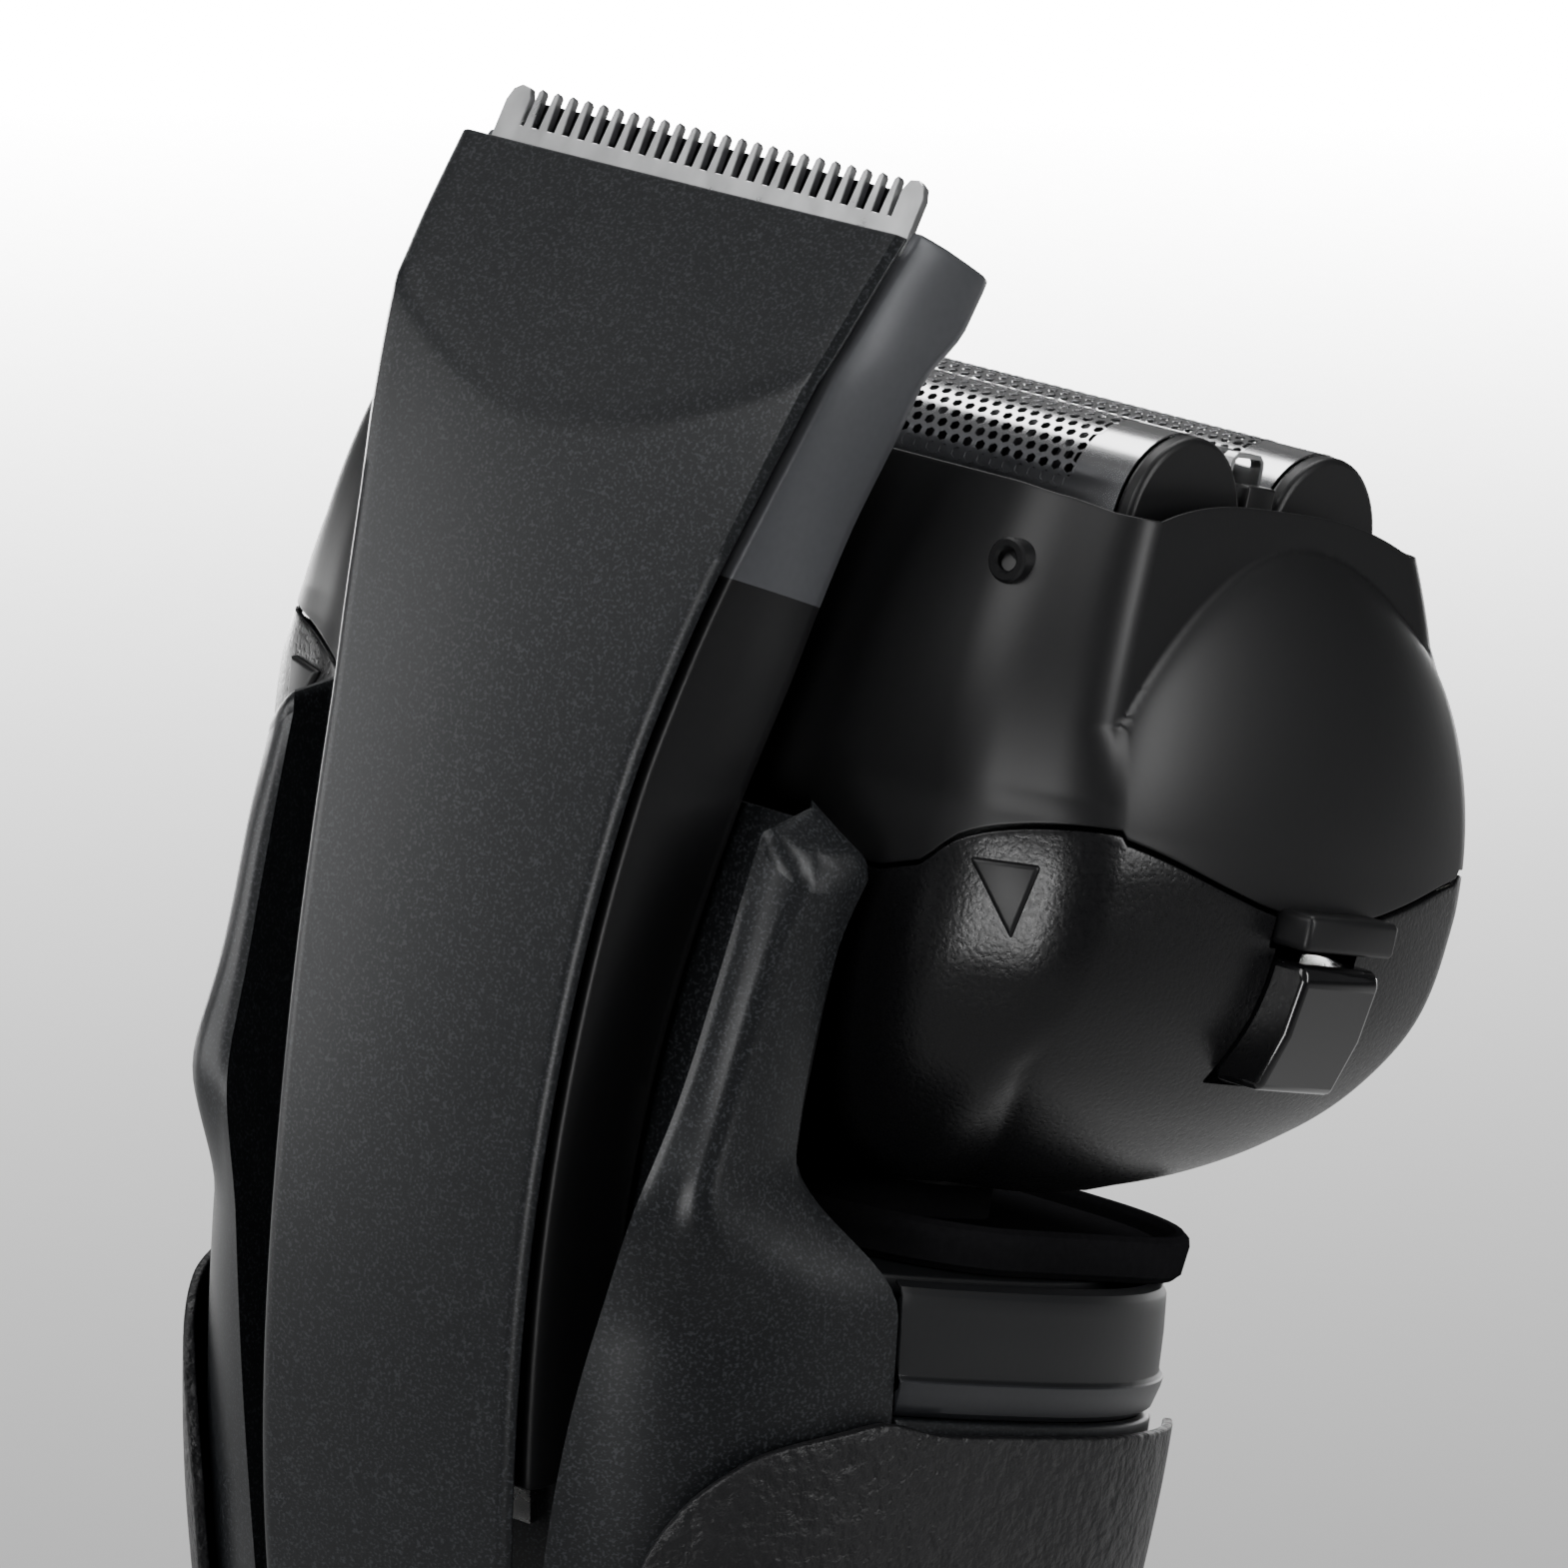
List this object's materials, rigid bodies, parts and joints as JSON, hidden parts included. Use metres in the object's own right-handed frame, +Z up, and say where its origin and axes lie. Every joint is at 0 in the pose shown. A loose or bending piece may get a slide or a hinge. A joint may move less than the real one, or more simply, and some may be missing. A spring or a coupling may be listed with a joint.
{
  "type": "electric foil shaver",
  "caption": "Cordless foil shaver with a pivoting foil head, side release buttons and a trimmer slid up along the back of a waisted grip.",
  "frame": {"origin": "centre of the flat bottom that the shaver stands on", "axes": "+Z up along the handle, -Y the front with the power button, +Y the back with the trimmer, X across the head"},
  "size_m": [0.072, 0.0624, 0.1777],
  "materials": {
    "charcoal_shell": "satin charcoal with a fine metallic speckle",
    "grey_frame": "satin mid grey",
    "front_shell": "satin charcoal",
    "shoulder_grey": "smooth matte grey",
    "neck_black": "satin black",
    "grip_rubber": "black rubber with a crinkled grain",
    "panel_gloss": "piano black",
    "bezel_metal": "satin chrome",
    "button_metal": "spun",
    "cap_black": "fine matte black",
    "contact_brass": "plated",
    "cell_wrap": "wrapped cell",
    "inner_nylon": "moulded nylon",
    "board_green": "solder mask",
    "lens_dark": "dark display",
    "screw_steel": "plated steel",
    "pivot_steel": "ground steel",
    "head_black": "semi-gloss black with a fine pebble grain",
    "frame_black": "smooth matte black",
    "button_gloss": "gloss black",
    "seal_rubber": "soft rubber",
    "foil_steel": "polished perforated foil",
    "blade_steel": "satin ground steel",
    "drive_white": "moulded acetal"
  },
  "bodies": {
    "handle": {"front_housing": "front_shell", "rear_housing": "charcoal_shell", "spine_plate": "neck_black", "shoulder_collar": "shoulder_grey", "shoulder_deck": "neck_black", "neck_plate": "neck_black", "grip_left": "grip_rubber", "grip_right": "grip_rubber", "front_panel": "panel_gloss", "button_bezel": "bezel_metal", "base_cap": "cap_black", "charge_socket": "cap_black", "charge_pins": "contact_brass", "battery_cell": "cell_wrap", "battery_cradle": "inner_nylon", "circuit_board": "board_green", "display_module": "lens_dark", "housing_screws": "screw_steel", "neck_bearing": "contact_brass", "slide_rail": "pivot_steel"},
    "power_button": {"power_button": "button_metal"},
    "trimmer": {"trimmer_cover": "charcoal_shell", "trimmer_frame": "grey_frame", "trimmer_comb": "blade_steel", "trimmer_screws": "screw_steel"},
    "trimmer_blade": {"trimmer_cutter": "blade_steel"},
    "yoke": {"neck_yoke": "pivot_steel"},
    "gimbal": {"gimbal_ring": "pivot_steel", "gimbal_pins": "pivot_steel"},
    "head": {"pivot_block": "inner_nylon", "head_base": "head_black", "drive_deck": "neck_black", "linear_motor": "pivot_steel", "drive_seals": "seal_rubber", "unlock_marks": "button_gloss", "release_springs": "pivot_steel"},
    "release_left": {"release_button_left": "button_gloss"},
    "release_right": {"release_button_right": "button_gloss"},
    "foil_head": {"foil_frame": "frame_black", "catch_bars": "button_gloss", "frame_bosses": "frame_black"},
    "cassette": {"cassette_tray": "cap_black", "foil_front": "foil_steel", "foil_rear": "foil_steel", "slit_comb": "foil_steel", "foil_caps": "cap_black"},
    "carrier": {"cutter_carrier": "inner_nylon"},
    "blade_front": {"cutter_front": "blade_steel", "drive_shaft_front": "drive_white"},
    "blade_rear": {"cutter_rear": "blade_steel", "drive_shaft_rear": "drive_white"},
    "blade_middle": {"cutter_middle": "blade_steel"}
  },
  "joints": [
    {"name": "power_press", "type": "slide", "parent": "handle", "child": "power_button", "axis": [0, 0.9806, 0.1959], "range_m": [0, 0.0008], "stiffness_N_per_m": 600, "springref_m": -0.0008},
    {"name": "trimmer_slide", "type": "hinge", "parent": "handle", "child": "trimmer", "pos_m": [0, -0.1, 0.108], "axis": [1, 0, 0], "range_deg": [-10.7, 0]},
    {"name": "trimmer_blade_slide", "type": "slide", "parent": "trimmer", "child": "trimmer_blade", "axis": [1, 0, 0], "range_m": [-0.0008, 0.0008], "stiffness_N_per_m": 200},
    {"name": "neck_twist", "type": "hinge", "parent": "handle", "child": "yoke", "pos_m": [0, -0.00777, 0.1211], "axis": [0, -0.2588, 0.9659], "range_deg": [-3, 3], "stiffness_Nm_per_rad": 1.5},
    {"name": "head_nod", "type": "hinge", "parent": "yoke", "child": "gimbal", "pos_m": [0, -0.00777, 0.1211], "axis": [1, 0, 0], "range_deg": [-3, 5], "stiffness_Nm_per_rad": 2},
    {"name": "head_tilt", "type": "hinge", "parent": "gimbal", "child": "head", "pos_m": [0, -0.00777, 0.1211], "axis": [0, 0.9659, 0.2588], "range_deg": [-4, 4], "stiffness_Nm_per_rad": 2},
    {"name": "release_left_press", "type": "slide", "parent": "head", "child": "release_left", "axis": [1, 0, 0], "range_m": [0, 0.0012], "stiffness_N_per_m": 500, "springref_m": -0.001},
    {"name": "release_right_press", "type": "slide", "parent": "head", "child": "release_right", "axis": [-1, 0, 0], "range_m": [0, 0.0012], "stiffness_N_per_m": 500, "springref_m": -0.001},
    {"name": "foil_head_lift", "type": "slide", "parent": "head", "child": "foil_head", "axis": [0, -0.2588, 0.9659], "range_m": [0, 0.014]},
    {"name": "cassette_float", "type": "slide", "parent": "foil_head", "child": "cassette", "axis": [0, -0.2588, 0.9659], "range_m": [-0.002, 0], "stiffness_N_per_m": 400, "springref_m": 0.001},
    {"name": "carrier_float", "type": "slide", "parent": "head", "child": "carrier", "axis": [0, -0.2588, 0.9659], "range_m": [-0.002, 0]},
    {"name": "blade_front_slide", "type": "slide", "parent": "carrier", "child": "blade_front", "axis": [1, 0, 0], "range_m": [-0.0012, 0.0012], "stiffness_N_per_m": 300},
    {"name": "blade_rear_slide", "type": "slide", "parent": "carrier", "child": "blade_rear", "axis": [1, 0, 0], "range_m": [-0.0012, 0.0012], "stiffness_N_per_m": 300},
    {"name": "blade_middle_slide", "type": "slide", "parent": "carrier", "child": "blade_middle", "axis": [1, 0, 0], "range_m": [-0.0012, 0.0012], "stiffness_N_per_m": 300}
  ],
  "couplings": [
    {"joint": "blade_rear_slide", "follows": "blade_front_slide", "ratio": -1},
    {"joint": "blade_middle_slide", "follows": "blade_front_slide", "ratio": 1},
    {"joint": "carrier_float", "follows": "cassette_float", "ratio": 1}
  ]
}
